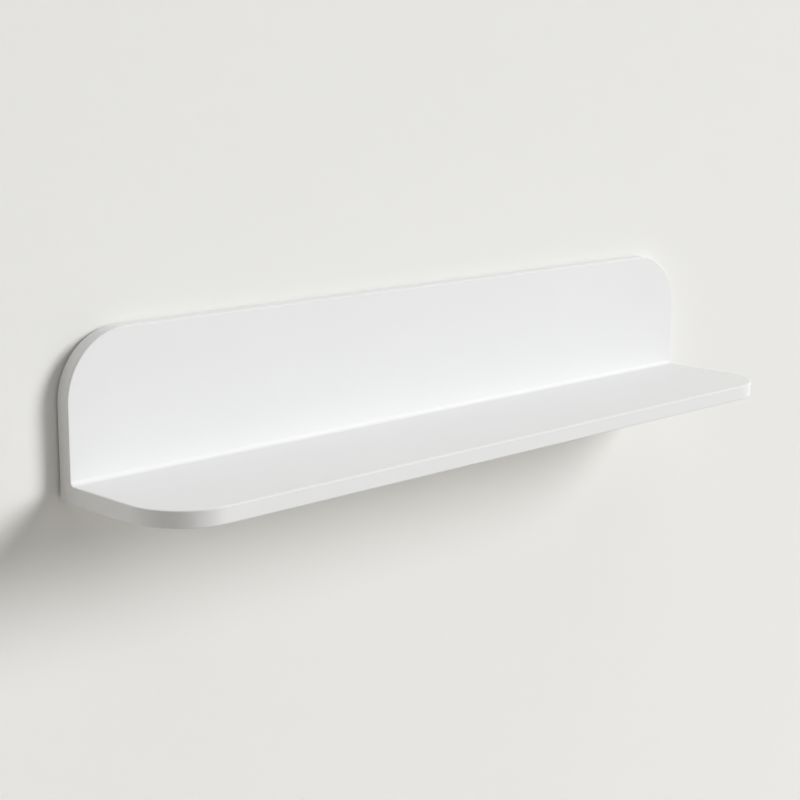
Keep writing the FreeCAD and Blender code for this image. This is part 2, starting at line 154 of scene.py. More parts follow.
class ShelfFixingSizes(bpy.types.PropertyGroup):
    """Sizes of the screws, dowels, plates and bumpers, and of the holes that they need"""

    joint_thread: size_setting("Joint Thread", "Pitch of the joint screws' thread", 1.8 * MM)
    hanger_thread: size_setting("Hanger Thread", "Pitch of the plate screws' thread", 1.35 * MM)
    wall_thread: size_setting("Wall Thread", "Pitch of the wall screws' thread", 2.2 * MM)
    joint_radius: size_setting("Joint Radius", "Outer radius of the joint screws' thread", 1.75 * MM)
    hanger_radius: size_setting("Hanger Radius", "Outer radius of the plate screws' thread", 1.5 * MM)
    wall_radius: size_setting("Wall Radius", "Outer radius of the wall screws' thread", 2.25 * MM)
    joint_tip: size_setting("Joint Tip", "Length of the joint screws' points", 5 * MM)
    hanger_tip: size_setting("Hanger Tip", "Length of the plate screws' points", 2.5 * MM)
    wall_tip: size_setting("Wall Tip", "Length of the wall screws' points", 6 * MM)
    neck_radius: size_setting("Neck Radius", "Of the wall screws under the head", 2 * MM)
    head_height: size_setting("Head Height", "Of the wall screws", 3 * MM)
    head_dome: size_setting("Head Dome", "Radius of the wall screws' rounded heads", 1.8 * MM)
    core_share: share_setting("Core", "Core of a thread as a share of its outer radius", 0.64)
    ridge_share: share_setting("Ridge", "Foot of a thread's ridge as a share of its pitch", 0.42)
    recess_share: share_setting("Recess", "Reach of a recess as a share of the head's radius", 0.55)
    recess_width: size_setting("Recess Width", "Half the width of a cross recess", 0.5 * MM)
    recess_depth: size_setting("Recess Depth", "Of a cross recess", 1.4 * MM)
    bore_slack: size_setting("Bore Slack", "What a bore is wider than what it holds", 0.05 * MM)
    bore_spare: size_setting("Bore Spare", "What a blind bore is deeper than what it holds", 0.5 * MM)
    flutes: count_setting("Flutes", "Grooves round a dowel", 16)
    flute_depth: size_setting("Flute Depth", "Of a dowel's grooves", 0.22 * MM)
    dowel_chamfer: size_setting("Dowel Chamfer", "At both ends of a dowel", 0.6 * MM)
    entry_radius: size_setting("Keyhole Entry", "Radius that a screw head passes", 5 * MM)
    slot_radius: size_setting("Keyhole Slot", "Half the width of a keyhole's slot", 2.5 * MM)
    entry_drop: size_setting("Entry Drop", "From a plate's middle to its keyhole's entry", 6 * MM)
    travel: size_setting("Travel", "From a keyhole's entry to the end of its slot", 10 * MM)
    hole_reach: size_setting("Hole Reach", "From a plate's middle to its screw holes", 18 * MM)
    plate_edge: size_setting("Plate Edge", "Radius of a plate's stamped edges", 0.2 * MM)
    seat_slack: size_setting("Seat Slack", "Room round a plate in the panel", 0.2 * MM)
    pocket_radius: size_setting("Pocket Radius", "Of the room for a head behind a plate", 6 * MM)
    pocket_depth: size_setting("Pocket Depth", "Of the room for a head behind a plate", 5.5 * MM)
    bumper_round: size_setting("Bumper Round", "Radius of a bumper's rim", 0.5 * MM)
    facets: count_setting("Facets", "Facets round a turned piece", 48)


class ShelfFinishes(bpy.types.PropertyGroup):
    """Colours and gloss of the finishes"""

    lacquer: colour_setting("Lacquer", "White satin lacquer", (0.85, 0.85, 0.85))
    lacquer_roughness: share_setting("Lacquer Roughness", "Of the satin lacquer", 0.6)
    raw_board: colour_setting("Raw Board", "Bare board in bores and pockets", (0.46, 0.33, 0.21))
    beech: colour_setting("Beech", "Dowel wood", (0.68, 0.49, 0.31))
    beech_ray: colour_setting("Beech Rays", "Dark flecks in the dowel wood", (0.45, 0.27, 0.14))
    zinc: colour_setting("Zinc", "Zinc plating", (0.66, 0.67, 0.68))
    zinc_shade: colour_setting("Zinc Shade", "Duller patches of the plating", (0.52, 0.54, 0.57))
    zinc_roughness: share_setting("Zinc Roughness", "Of the zinc plating", 0.34)
    bumper: colour_setting("Bumper", "Milky soft plastic", (0.72, 0.72, 0.70))


class ShelfStage(bpy.types.PropertyGroup):
    """Backdrop, floor, light and camera"""

    wall: colour_setting("Wall", "Painted backdrop", (0.893, 0.889, 0.863))
    floor: colour_setting("Floor", "Pale floor", (0.70, 0.675, 0.645))
    surround: colour_setting("Surround", "What shows past the backdrop", (0.80, 0.79, 0.77))
    floor_glow: share_setting("Floor Glow", "Share of the floor's look that no lamp changes", 0.75)
    reach: size_setting("Reach", "Half the width of the backdrop and the floor", 6.0)
    wall_height: size_setting("Backdrop Height", "Above the screws", 2.0)
    floor_drop: size_setting("Floor Drop", "From the screws down to the floor", 1.2)
    back_window: size_setting("Window Inset", "Rim of backdrop kept behind the panel", 0.8 * MM)
    back_gap: size_setting("Clear Gap", "Reach in which the backdrop lets back light in", 2.2 * MM)
    ambient: share_setting("Ambient", "Level of the light from all round", 0.09)
    ambient_colour: colour_setting("Ambient Colour", "Of the light from all round", (1.0, 0.96, 0.90))
    key_power: power_setting("Key Power", "Large soft lamp at the front right", 7350)
    key_colour: colour_setting("Key Colour", "Of the key lamp", (0.973, 0.985, 1.0))
    key_size: size_setting("Key Size", "Width of the key lamp", 14.0)
    key_distance: size_setting("Key Distance", "From the shelf to the key lamp", 30.0)
    key_side: angle_setting("Key Side", "To the right of the wall's normal", 46 * DEGREE)
    key_rise: angle_setting("Key Rise", "Above the horizon", 21 * DEGREE)
    top_power: power_setting("Top Power", "Soft lamp overhead", 165)
    top_colour: colour_setting("Top Colour", "Of the lamp overhead and the fill", (1.0, 1.0, 1.0))
    top_size: size_setting("Top Size", "Width of the lamp overhead", 10.0)
    top_distance: size_setting("Top Distance", "From the shelf to the lamp overhead", 8.0)
    top_rise: angle_setting("Top Rise", "Above the horizon", 72 * DEGREE)
    fill_power: power_setting("Fill Power", "Soft low lamp at the front", 260)
    fill_size: size_setting("Fill Size", "Width of the fill lamp", 6.0)
    fill_distance: size_setting("Fill Distance", "From the shelf to the fill lamp", 20.0)
    fill_side: angle_setting("Fill Side", "To the right of the wall's normal", 30 * DEGREE)
    fill_rise: angle_setting("Fill Rise", "Above the horizon", 5 * DEGREE)
    back_power: power_setting("Back Power", "Soft lamp behind the backdrop, for the shelf's back", 250)
    back_size: size_setting("Back Size", "Width of the lamp behind the backdrop", 3.0)
    back_distance: size_setting("Back Distance", "From the backdrop to the lamp behind it", 6.0)
    camera_place: place_setting("Camera", "Where the camera stands", (-0.8646, -0.8571, 0.1944))
    camera_heading: angle_setting("Heading", "Of the camera, to the right", 44.972 * DEGREE)
    camera_tilt: angle_setting("Tilt", "Of the camera above the horizon", -11.635 * DEGREE)
    camera_roll: angle_setting("Roll", "Of the camera about its own axis", 0.332 * DEGREE)
    camera_lens: lens_setting("Lens", "Focal length of the camera", 77.19)


SETTINGS = {
    "shelf_boards": ShelfBoardSizes,
    "shelf_fixings": ShelfFixingSizes,
    "shelf_finishes": ShelfFinishes,
    "shelf_stage": ShelfStage,
}


# Outlines

def spaced(start, end, count):
    """Evenly spaced numbers from start to end, both included."""
    return [start + (end - start) * step / count for step in range(count + 1)]


def arc(x, z, radius, start, end, facets):
    """Points along an arc about a centre, from one angle to another."""
    turns = spaced(start, end, facets)
    return [(x + radius * math.cos(turn), z + radius * math.sin(turn)) for turn in turns]


def circle(x, z, radius, facets):
    """Outline in X and Z of a round hole."""
    return arc(x, z, radius, 0, 2 * math.pi, facets)[:-1]


def upright_slot(x, low, high, radius, facets):
    """Outline in X and Z of an upright slot with round ends centred at two heights."""
    top = arc(x, high, radius, 0, math.pi, facets)
    foot = arc(x, low, radius, math.pi, 2 * math.pi, facets)
    return top + foot


def plate_outline(node, grow, facets):
    """Outline in X and Z of a keyhole plate, grown all round."""
    size, centre = extent(node), middle(node)
    run = size.z / 2 - size.x / 2
    return upright_slot(centre.x, centre.z - run, centre.z + run, size.x / 2 + grow, facets)


def eased(radius, facets):
    """Inset from the rim and drop from the face, at each step round an eased edge."""
    turns = spaced(0, QUARTER_TURN, facets)
    return [(radius * (1 - math.sin(turn)), radius * (1 - math.cos(turn))) for turn in turns]


# Meshes

def mesh_of(bm, name):
    """Close a bmesh into a mesh, with its faces turned outwards."""
    bmesh.ops.recalc_face_normals(bm, faces=bm.faces)
    mesh = bpy.data.meshes.new(name)
    bm.to_mesh(mesh)
    bm.free()
    return mesh


def new_object(name, data):
    """An object in the scene, at the origin."""
    obj = bpy.data.objects.new(name, data)
    bpy.context.scene.collection.objects.link(obj)
    return obj


def remove(obj):
    """Remove an object and its mesh."""
    mesh = obj.data
    bpy.data.objects.remove(obj)
    bpy.data.meshes.remove(mesh)


def plain_mesh(host):
    """What an object's modifiers make of its mesh, as a plain mesh; the object is used up."""
    depsgraph = bpy.context.evaluated_depsgraph_get()
    mesh = bpy.data.meshes.new_from_object(host.evaluated_get(depsgraph))
    host.modifiers.clear()
    remove(host)
    return mesh


def modified(mesh, kind, **settings):
    """What one modifier makes of a mesh, which is used up."""
    host = new_object("host", mesh)
    modifier = host.modifiers.new(kind.lower(), kind)
    for key, value in settings.items():
        setattr(modifier, key, value)
    return plain_mesh(host)


def loft(bm, rings):
    """Faces between closed rings of vertices, each ring to the next."""
    for ring, following in zip(rings, rings[1:]):
        turned = ring[1:] + ring[:1]
        turned_following = following[1:] + following[:1]
        for corner in zip(ring, turned, turned_following, following):
            bm.faces.new(corner)


def fill(bm, rings):
    """A flat face inside the first closed ring of vertices, with the other rings as holes."""
    edges = []
    for ring in rings:
        for start, end in zip(ring, ring[1:] + ring[:1]):
            edges.append(bm.edges.get((start, end)) or bm.edges.new((start, end)))
    bmesh.ops.triangle_fill(bm, edges=edges, use_beauty=True)


def upright_ring(bm, outline, y):
    """A ring of vertices along an outline in X and Z, at one depth."""
    return [bm.verts.new((x, y, z)) for x, z in outline]


def prism(bm, outline, low_y, high_y):
    """A closed solid between two depths."""
    rings = [upright_ring(bm, outline, y) for y in (low_y, high_y)]
    loft(bm, rings)
    for ring in rings:
        fill(bm, [ring])


def block(low, high):
    """A mesh of a plain box."""
    bm = bmesh.new()
    prism(bm, [(low.x, low.z), (high.x, low.z), (high.x, high.z), (low.x, high.z)], low.y, high.y)
    return mesh_of(bm, "block")


def boolean(mesh, tool, operation):
    """A mesh cut by a tool, or what the two share; material slots keep their order."""
    cutter = new_object("cutter", tool)
    result = modified(
        mesh, "BOOLEAN", operation=operation, solver="EXACT", material_mode="INDEX", object=cutter
    )
    remove(cutter)
    return result


def check_closed(mesh):
    """Stop if a mesh has an open edge or is inside out."""
    bm = bmesh.new()
    bm.from_mesh(mesh)
    open_edges = sum(not edge.is_manifold for edge in bm.edges)
    volume = bm.calc_volume(signed=True)
    bm.free()
    if open_edges or volume <= 0:
        raise RuntimeError(f"{mesh.name} has {open_edges} open edges and a volume of {volume}")


def merge_close(mesh):
    """Join vertices that lie in one place, and drop faces with no area."""
    bm = bmesh.new()
    bm.from_mesh(mesh)
    bmesh.ops.remove_doubles(bm, verts=bm.verts, dist=SAME_PLACE)
    bmesh.ops.dissolve_degenerate(bm, edges=bm.edges, dist=SAME_PLACE)
    bm.to_mesh(mesh)
    bm.free()


def smooth_shaded(mesh, name):
    """The mesh with round faces shaded smooth, sharp edges kept and flat faces left flat."""
    mesh.shade_smooth()
    mesh.set_sharp_from_angle(angle=SHARP_ANGLE)
    result = modified(mesh, "WEIGHTED_NORMAL", mode="FACE_AREA", weight=100, keep_sharp=True)
    result.name = name
    return result


def add_piece(name, mesh, body, nodes):
    """A finished piece that moves with a body and stands for nodes of the packed model."""
    check_closed(mesh)
    piece = new_object(name, smooth_shaded(mesh, name))
    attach(piece, body)
    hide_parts(*nodes)
    return piece


# Node trees

NODE_SPACING = 200


def socket_of(sockets, key):
    """A socket by its place, or by its name among those that are in use."""
    if isinstance(key, int):
        return sockets[key]
    return next(socket for socket in sockets if socket.enabled and socket.name == key)


def add_node(tree, kind, inputs=None, **settings):
    """Add a node, set its properties, and give its inputs values or links."""
    node = tree.nodes.new(kind)
    node.location.x = NODE_SPACING * len(tree.nodes)
    for key, value in settings.items():
        setattr(node, key, value)
    for key, given in (inputs or {}).items():
        socket = socket_of(node.inputs, key)
        for source in given if isinstance(given, list) else [given]:
            if isinstance(source, bpy.types.NodeSocket):
                tree.links.new(source, socket)
            else:
                socket.default_value = source
    return node


def maths(tree, operation, first, second=0.0):
    """The result of a sum on numbers."""
    return add_node(tree, "ShaderNodeMath", {0: first, 1: second}, operation=operation).outputs[0]


def whole(tree, operation, first, second):
    """The result of a sum on whole numbers."""
    inputs = {0: first, 1: second}
    return add_node(tree, "FunctionNodeIntegerMath", inputs, operation=operation).outputs[0]


def vector(tree, x, y, z):
    """A vector from its three numbers."""
    return add_node(tree, "ShaderNodeCombineXYZ", {"X": x, "Y": y, "Z": z}).outputs[0]


def moved(tree, geometry, **change):
    """Geometry that is shifted, turned or scaled."""
    return add_node(tree, "GeometryNodeTransform", {"Geometry": geometry, **change}).outputs[0]


# Turned pieces: an outline of radius (X) against reach (Y) is spun about the Y axis

TURNED_TREE = "turned_pieces"
# The tree's named inputs, by the kind of their sockets
TURNED_INPUTS = {
    "Geometry": ["Outline"],
    "Int": ["Facets", "Flutes", "Count", "Rows", "Seed"],
    "Float": [
        "Thread Pitch", "Thread Height", "Ridge Share", "Flute Depth", "Recess Reach", "Recess Width",
        "Recess Depth", "Spacing", "Row Spacing", "Turn",
    ],
    "Vector": ["Place"],
    "Material": ["Finish"],
}
# Foot of a cross recess as a share of its mouth
RECESS_TAPER = 0.45
# Attribute with an outline point's share of the thread or the flutes
RELIEF = "relief"


def spin_outline(tree, given):
    """Spin the outline into a closed skin with its thread or flutes."""
    plus, minus, times, over, most = (
        partial(maths, tree, operation)
        for operation in ("ADD", "SUBTRACT", "MULTIPLY", "DIVIDE", "MAXIMUM")
    )
    outline = given["Outline"]
    size = add_node(tree, "GeometryNodeAttributeDomainSize", {"Geometry": outline}, component="MESH")
    columns = whole(tree, "ADD", given["Facets"], 1)
    grid = add_node(tree, "GeometryNodeMeshGrid", {
        "Vertices X": size.outputs["Point Count"],
        "Vertices Y": columns,
    })
    index = add_node(tree, "GeometryNodeInputIndex").outputs[0]
    row = whole(tree, "DIVIDE_FLOOR", index, columns)
    turn = over(whole(tree, "MODULO", index, columns), given["Facets"])
    angle = times(turn, 2 * math.pi)

    def along_outline(value, kind):
        """A value of the outline's point for this row."""
        inputs = {"Geometry": outline, "Value": value, "Index": row}
        sample = add_node(tree, "GeometryNodeSampleIndex", inputs, data_type=kind, domain="POINT")
        return sample.outputs["Value"]

    position = add_node(tree, "GeometryNodeInputPosition").outputs[0]
    point = add_node(tree, "ShaderNodeSeparateXYZ", {0: along_outline(position, "FLOAT_VECTOR")})
    radius, reach = point.outputs["X"], point.outputs["Y"]
    named = add_node(tree, "GeometryNodeInputNamedAttribute", {"Name": RELIEF}, data_type="FLOAT")
    relief = along_outline(named.outputs["Attribute"], "FLOAT")

    # A thread's ridge climbs by one pitch in each turn
    turns = minus(over(reach, given["Thread Pitch"]), turn)
    off_crest = minus(times(maths(tree, "FRACT", turns), 2.0), 1.0)
    slope = over(maths(tree, "ABSOLUTE", off_crest), given["Ridge Share"])
    thread = times(most(minus(1.0, slope), 0.0), given["Thread Height"])

    # Flutes are rounded grooves with plain stretches between them
    swing = maths(tree, "COSINE", times(angle, given["Flutes"]))
    flute = times(maths(tree, "POWER", most(swing, 0.0), 2.0), given["Flute Depth"])

    full_radius = plus(radius, times(relief, minus(thread, flute)))
    across = times(full_radius, maths(tree, "COSINE", angle))
    down = times(full_radius, maths(tree, "SINE", angle))
    spun = add_node(tree, "GeometryNodeSetPosition", {
        "Geometry": grid.outputs["Mesh"],
        "Position": vector(tree, across, reach, times(down, -1.0)),
    })
    closed = add_node(tree, "GeometryNodeMergeByDistance", {
        "Geometry": spun.outputs[0],
        "Distance": SAME_PLACE,
    })
    return add_node(tree, "GeometryNodeFlipFaces", {"Mesh": closed.outputs[0]}).outputs[0]


def cut_recess(tree, given, skin):
    """Cut a tapered cross recess into the end where the outline starts."""
    # A four-sided cone, two wide at its mouth until it is scaled
    taper = add_node(tree, "GeometryNodeMeshCone", {
        "Vertices": 4,
        "Radius Bottom": math.sqrt(2),
        "Radius Top": math.sqrt(2) * RECESS_TAPER,
        "Depth": maths(tree, "ADD", given["Recess Depth"], SPARE),
    })
    square = moved(tree, taper.outputs["Mesh"], Rotation=(0, 0, QUARTER_TURN / 2))
    flat = vector(tree, given["Recess Reach"], given["Recess Width"], 1.0)
    wing = moved(tree, square, Translation=(0, -SPARE, 0), Rotation=(-QUARTER_TURN, 0, 0), Scale=flat)
    crossing = moved(tree, wing, Rotation=(0, QUARTER_TURN, 0))
    recessed = add_node(
        tree, "GeometryNodeMeshBoolean", {"Mesh 1": skin, "Mesh 2": [wing, crossing]},
        operation="DIFFERENCE", solver="EXACT",
    )
    wanted = add_node(
        tree, "FunctionNodeCompare", {"A": given["Recess Depth"], "B": 0.0},
        data_type="FLOAT", operation="GREATER_THAN",
    )
    choice = add_node(tree, "GeometryNodeSwitch", {
        "Switch": wanted.outputs[0],
        "False": skin,
        "True": recessed.outputs["Mesh"],
    }, input_type="GEOMETRY")
    return choice.outputs[0]


def set_in_grid(tree, given, piece):
    """Set copies of a piece in a grid along X and Z, each turned at random about its own axis."""

    def run(count, spacing):
        """From the first copy to the last."""
        return maths(tree, "MULTIPLY", whole(tree, "SUBTRACT", given[count], 1), given[spacing])

    grid = add_node(tree, "GeometryNodeMeshGrid", {
        "Size X": run("Count", "Spacing"),
        "Size Y": run("Rows", "Row Spacing"),
        "Vertices X": given["Count"],
        "Vertices Y": given["Rows"],
    })
    upright = moved(tree, grid.outputs["Mesh"], Translation=given["Place"], Rotation=(QUARTER_TURN, 0, 0))
    roll = add_node(tree, "FunctionNodeRandomValue", {
        "Min": 0.0,
        "Max": 2 * math.pi,
        "Seed": given["Seed"],
    }, data_type="FLOAT")
    turn = vector(tree, 0.0, socket_of(roll.outputs, "Value"), given["Turn"])
    copies = add_node(tree, "GeometryNodeInstanceOnPoints", {
        "Points": upright,
        "Instance": piece,
        "Rotation": add_node(tree, "FunctionNodeEulerToRotation", {0: turn}).outputs[0],
    })
    return add_node(tree, "GeometryNodeRealizeInstances", {"Geometry": copies.outputs[0]}).outputs[0]


def turned_tree():
    """The node tree that spins an outline and sets copies of it, made once."""
    tree = bpy.data.node_groups.get(TURNED_TREE)
    if tree is not None:
        return tree
    tree = bpy.data.node_groups.new(TURNED_TREE, "GeometryNodeTree")
    tree.is_modifier = True
    for kind, names in TURNED_INPUTS.items():
        for name in names:
            tree.interface.new_socket(name, in_out="INPUT", socket_type=f"NodeSocket{kind}")
    tree.interface.new_socket("Pieces", in_out="OUTPUT", socket_type="NodeSocketGeometry")
    given = tree.nodes.new("NodeGroupInput").outputs
    piece = cut_recess(tree, given, spin_outline(tree, given))
    coated = add_node(tree, "GeometryNodeSetMaterial", {
        "Geometry": set_in_grid(tree, given, piece),
        "Material": given["Finish"],
    })
    add_node(tree, "NodeGroupOutput", {"Pieces": coated.outputs[0]})
    return tree


def turned_mesh(outline, inputs):
    """A plain mesh of turned pieces; the outline gives radius, reach and share of relief."""
    mesh = bpy.data.meshes.new("outline")
    mesh.from_pydata([(radius, reach, 0) for radius, reach, _ in outline], [], [])
    relief = mesh.attributes.new(RELIEF, "FLOAT", "POINT")
    relief.data.foreach_set("value", [share for _, _, share in outline])
    host = new_object("turned_host", mesh)
    modifier = host.modifiers.new(TURNED_TREE, "NODES")
    modifier.node_group = turned_tree()
    wanted = {"Count": 1, "Rows": 1, "Facets": bpy.context.scene.shelf_fixings.facets, **inputs}
    for item in modifier.node_group.interface.items_tree:
        if item.in_out == "INPUT" and item.name in wanted:
            modifier[item.identifier] = wanted[item.name]
    return plain_mesh(host)


# Finishes

# Nearly all of a noise lies between these two
NOISE_LOW = 0.3
NOISE_HIGH = 0.7


class Coat:
    """A finish in the making: its material, its nodes, its shader and the place on the piece."""

    def __init__(self, name):
        self.material = bpy.data.materials.new(name)
        self.material.use_nodes = True
        self.tree = self.material.node_tree
        self.shader = self.tree.nodes["Principled BSDF"]
        self.place = add_node(self.tree, "ShaderNodeTexCoord").outputs["Object"]

    def noise(self, per_metre, detail, roughness=0.5, stretch=None):
        """Soft noise with so many waves to the metre, stretched along some axes."""
        place = self.place
        if stretch:
            place = add_node(self.tree, "ShaderNodeMapping", {"Vector": place, "Scale": stretch}).outputs[0]
        inputs = {"Vector": place, "Scale": per_metre, "Detail": detail, "Roughness": roughness}
        return add_node(self.tree, "ShaderNodeTexNoise", inputs).outputs[0]

    def spread(self, noise, low, high):
        """Noise brought into a range of numbers."""
        return add_node(self.tree, "ShaderNodeMapRange", {
            "Value": noise,
            "From Min": NOISE_LOW,
            "From Max": NOISE_HIGH,
            "To Min": low,
            "To Max": high,
        }).outputs[0]

    def between(self, noise, first, second):
        """A colour between two, by noise."""
        ramp = add_node(self.tree, "ShaderNodeValToRGB", {"Fac": noise})
        for stop, place, colour in zip(ramp.color_ramp.elements, (NOISE_LOW, NOISE_HIGH), (first, second)):
            stop.position = place
            stop.color = (*colour, 1)
        return ramp.outputs["Color"]

    def shades(self, noise, colour, darkest):
        """Shades of a colour by noise, of which the darkest is a share of it."""
        return self.between(noise, [part * darkest for part in colour], colour)

    def bump(self, height, depth, strength, **under):
        """A normal tilted by fine relief of a given depth, over another normal if one is given."""
        inputs = {"Height": height, "Distance": depth, "Strength": strength, **under}
        return add_node(self.tree, "ShaderNodeBump", inputs).outputs[0]

    def wear(self, constants=None, **links):
        """Give the shader what varies as links, and what is the same all over as values."""
        for key, source in links.items():
            self.tree.links.new(source, self.shader.inputs[key.replace("_", " ")])
        for key, value in (constants or {}).items():
            self.shader.inputs[key].default_value = value

    def cover(self, share, other):
        """Put a share of another shader over this one."""
        mixed = add_node(self.tree, "ShaderNodeMixShader", {0: share, 1: self.shader.outputs[0], 2: other})
        self.tree.links.new(mixed.outputs[0], self.tree.nodes["Material Output"].inputs["Surface"])


def satin_lacquer(coat, colours):
    """White satin lacquer: faint clouds in tone and gloss, and the fine skin of a sprayed coat."""
    clouds = coat.noise(per_metre=9, detail=3)
    haze = coat.noise(per_metre=60, detail=4)
    skin = coat.noise(per_metre=900, detail=1)
    uneven = 0.04
    rough = colours.lacquer_roughness
    coat.wear(
        {"IOR": 1.5},
        Base_Color=coat.shades(clouds, colours.lacquer, darkest=0.985),
        Roughness=coat.spread(haze, rough - uneven, rough + uneven),
        Normal=coat.bump(skin, depth=0.02 * MM, strength=0.12),
    )


def raw_board(coat, colours):
    """Bare fibre board where a cutter has been: matted fibres and fine cutter marks."""
    fibres = coat.noise(per_metre=1400, detail=5, roughness=0.7)
    marks = coat.noise(per_metre=420, detail=3, stretch=(1, 9, 1))
    scored = coat.bump(marks, depth=0.06 * MM, strength=0.4)
    coat.wear(
        Base_Color=coat.shades(fibres, colours.raw_board, darkest=0.72),
        Roughness=coat.spread(marks, low=0.78, high=0.92),
        Normal=coat.bump(fibres, depth=0.08 * MM, strength=0.5, Normal=scored),
    )


def beech_wood(coat, colours):
    """Beech with its grain along the dowel and short dark rays."""
    grain = coat.noise(per_metre=1500, detail=4, roughness=0.6, stretch=(1, 0.05, 1))
    rays = coat.noise(per_metre=3800, detail=1, stretch=(1, 0.22, 1))
    flecks = maths(coat.tree, "MULTIPLY", maths(coat.tree, "MULTIPLY", rays, rays), grain)
    tone = add_node(coat.tree, "ShaderNodeMix", {
        "Factor": coat.spread(flecks, low=-0.6, high=0.9),
        "A": coat.shades(grain, colours.beech, darkest=0.82),
        "B": (*colours.beech_ray, 1),
    }, data_type="RGBA", clamp_factor=True)
    coat.wear(
        Base_Color=socket_of(tone.outputs, "Result"),
        Roughness=coat.spread(grain, low=0.55, high=0.72),
        Normal=coat.bump(grain, depth=0.05 * MM, strength=0.5),
    )


def zinc_plating(coat, colours, lines):
    """Zinc plating over rolled or turned steel, with patches of duller crystals."""
    streaks = coat.noise(per_metre=2600, detail=3, roughness=0.6, stretch=lines)
    patches = coat.noise(per_metre=260, detail=4, roughness=0.6)
    mean = maths(coat.tree, "MULTIPLY", maths(coat.tree, "ADD", streaks, patches), 0.5)
    smoother, rougher = 0.1, 0.12
    rough = colours.zinc_roughness
    coat.wear(
        {"Metallic": 1.0},
        Base_Color=coat.between(patches, colours.zinc_shade, colours.zinc),
        Roughness=coat.spread(mean, rough - smoother, rough + rougher),
        Normal=coat.bump(streaks, depth=0.012 * MM, strength=0.35),
    )


def bumper_plastic(coat, colours):
    """Milky soft plastic with the fine matt skin of its mould."""
    clouds = coat.noise(per_metre=330, detail=3)
    matt = coat.noise(per_metre=5200, detail=2)
    coat.wear(
        {"Subsurface Weight": 0.25, "Subsurface Radius": (1, 1, 1), "Subsurface Scale": 0.6 * MM},
        Base_Color=coat.shades(clouds, colours.bumper, darkest=0.9),
        Roughness=coat.spread(clouds, low=0.42, high=0.56),
        Normal=coat.bump(matt, depth=0.02 * MM, strength=0.3),
    )


FINISHES = {
    "satin_lacquer": satin_lacquer,
    "raw_board": raw_board,
    "beech_wood": beech_wood,
    "rolled_zinc": partial(zinc_plating, lines=(1, 1, 0.04)),
    "turned_zinc": partial(zinc_plating, lines=(0.2, 1.5, 0.2)),
    "bumper_plastic": bumper_plastic,
}


def finish(name):
    """One of the finishes, made the first time it is asked for."""
    material = bpy.data.materials.get(name)
    if material is not None:
        return material
    coat = Coat(name)
    FINISHES[name](coat, bpy.context.scene.shelf_finishes)
    return coat.material


# Boards: one glued L, made as a rim of sections joined across, then parted at the joint

def rim_section(sizes, face, face_out, back, back_out, rim_out):
    """Points across the rim at one place, from the face round both eased edges to the back."""
    steps = eased(sizes.arris, sizes.arris_facets)
    points = []
    for corner, way_out, turn in ((face, face_out, steps), (back, back_out, reversed(steps))):
        for inset, drop in turn:
            points.append(Vector(corner) - Vector(rim_out) * inset - Vector(way_out) * drop)
    return points


def left_rim(sizes):
    """Sections round the left half of the rim, from the panel's top to the board's front."""
    half = sizes.length / 2
    top = UNDERSIDE + sizes.height
    front = PANEL_BACK - sizes.depth
    section = partial(rim_section, sizes)
    sections = []
    for angle in spaced(QUARTER_TURN, 0, sizes.corner_facets):
        out = Vector((-math.cos(angle), 0, math.sin(angle)))
        x = sizes.top_corner - half + sizes.top_corner * out.x
        z = top - sizes.top_corner + sizes.top_corner * out.z
        sections.append(section((x, sizes.joint, z), (0, -1, 0), (x, PANEL_BACK, z), (0, 1, 0), out))
    for angle in spaced(0, -QUARTER_TURN, sizes.bend_facets):
        out = Vector((0, math.cos(angle), math.sin(angle)))
        face = Vector((-half, sizes.joint - sizes.cove, sizes.shelf_top + sizes.cove)) + out * sizes.cove
        back = Vector((-half, PANEL_BACK - sizes.heel, UNDERSIDE + sizes.heel)) + out * sizes.heel
        sections.append(section(face, -out, back, out, (-1, 0, 0)))
    for angle in spaced(0, QUARTER_TURN, sizes.corner_facets):
        out = Vector((-math.cos(angle), -math.sin(angle), 0))
        x = sizes.front_corner - half + sizes.front_corner * out.x
        y = front + sizes.front_corner + sizes.front_corner * out.y
        sections.append(section((x, y, sizes.shelf_top), (0, 0, 1), (x, y, UNDERSIDE), (0, 0, -1), out))
    return sections


def glued_form(sizes):
    """The whole L with rounded corners and eased edges."""
    bm = bmesh.new()
    left = left_rim(sizes)
    mirror = Matrix.Diagonal((-1, 1, 1))
    right = [[mirror @ point for point in section] for section in reversed(left)]
    sections = [[bm.verts.new(point) for point in section] for section in left + right]
    for section, following in zip(sections, sections[1:] + sections[:1]):
        for corner in zip(section, section[1:], following[1:], following):
            bm.faces.new(corner)
    for index in range(len(left) - 1):
        near, far = sections[index], sections[index + 1]
        near_right, far_right = sections[-1 - index], sections[-2 - index]
        for side in (0, -1):
            bm.faces.new((near[side], far[side], far_right[side], near_right[side]))
    mesh = mesh_of(bm, "glued_form")
    for name in ("satin_lacquer", "raw_board"):
        mesh.materials.append(finish(name))
    return mesh


def part_of_form(sizes, low, high):
    """What lies of the glued form in one board's space."""
    return boolean(glued_form(sizes), block(Vector(low), Vector(high)), "INTERSECT")


def cut_raw(mesh, tools):
    """Cut a board with tools that leave bare fibre board, its second material."""
    bm = bmesh.new()
    for tool in tools:
        bm.from_mesh(tool)
        bpy.data.meshes.remove(tool)
    for face in bm.faces:
        face.material_index = 1
    cutter = mesh_of(bm, "cutter")
    for material in mesh.materials:
        cutter.materials.append(material)
    result = boolean(mesh, cutter, "DIFFERENCE")
    merge_close(result)
    return result


def round_bore(radius, start, end):
    """Outline of a plain round cutter."""
    return [(0, start), (radius, start), (radius, end), (0, end)]


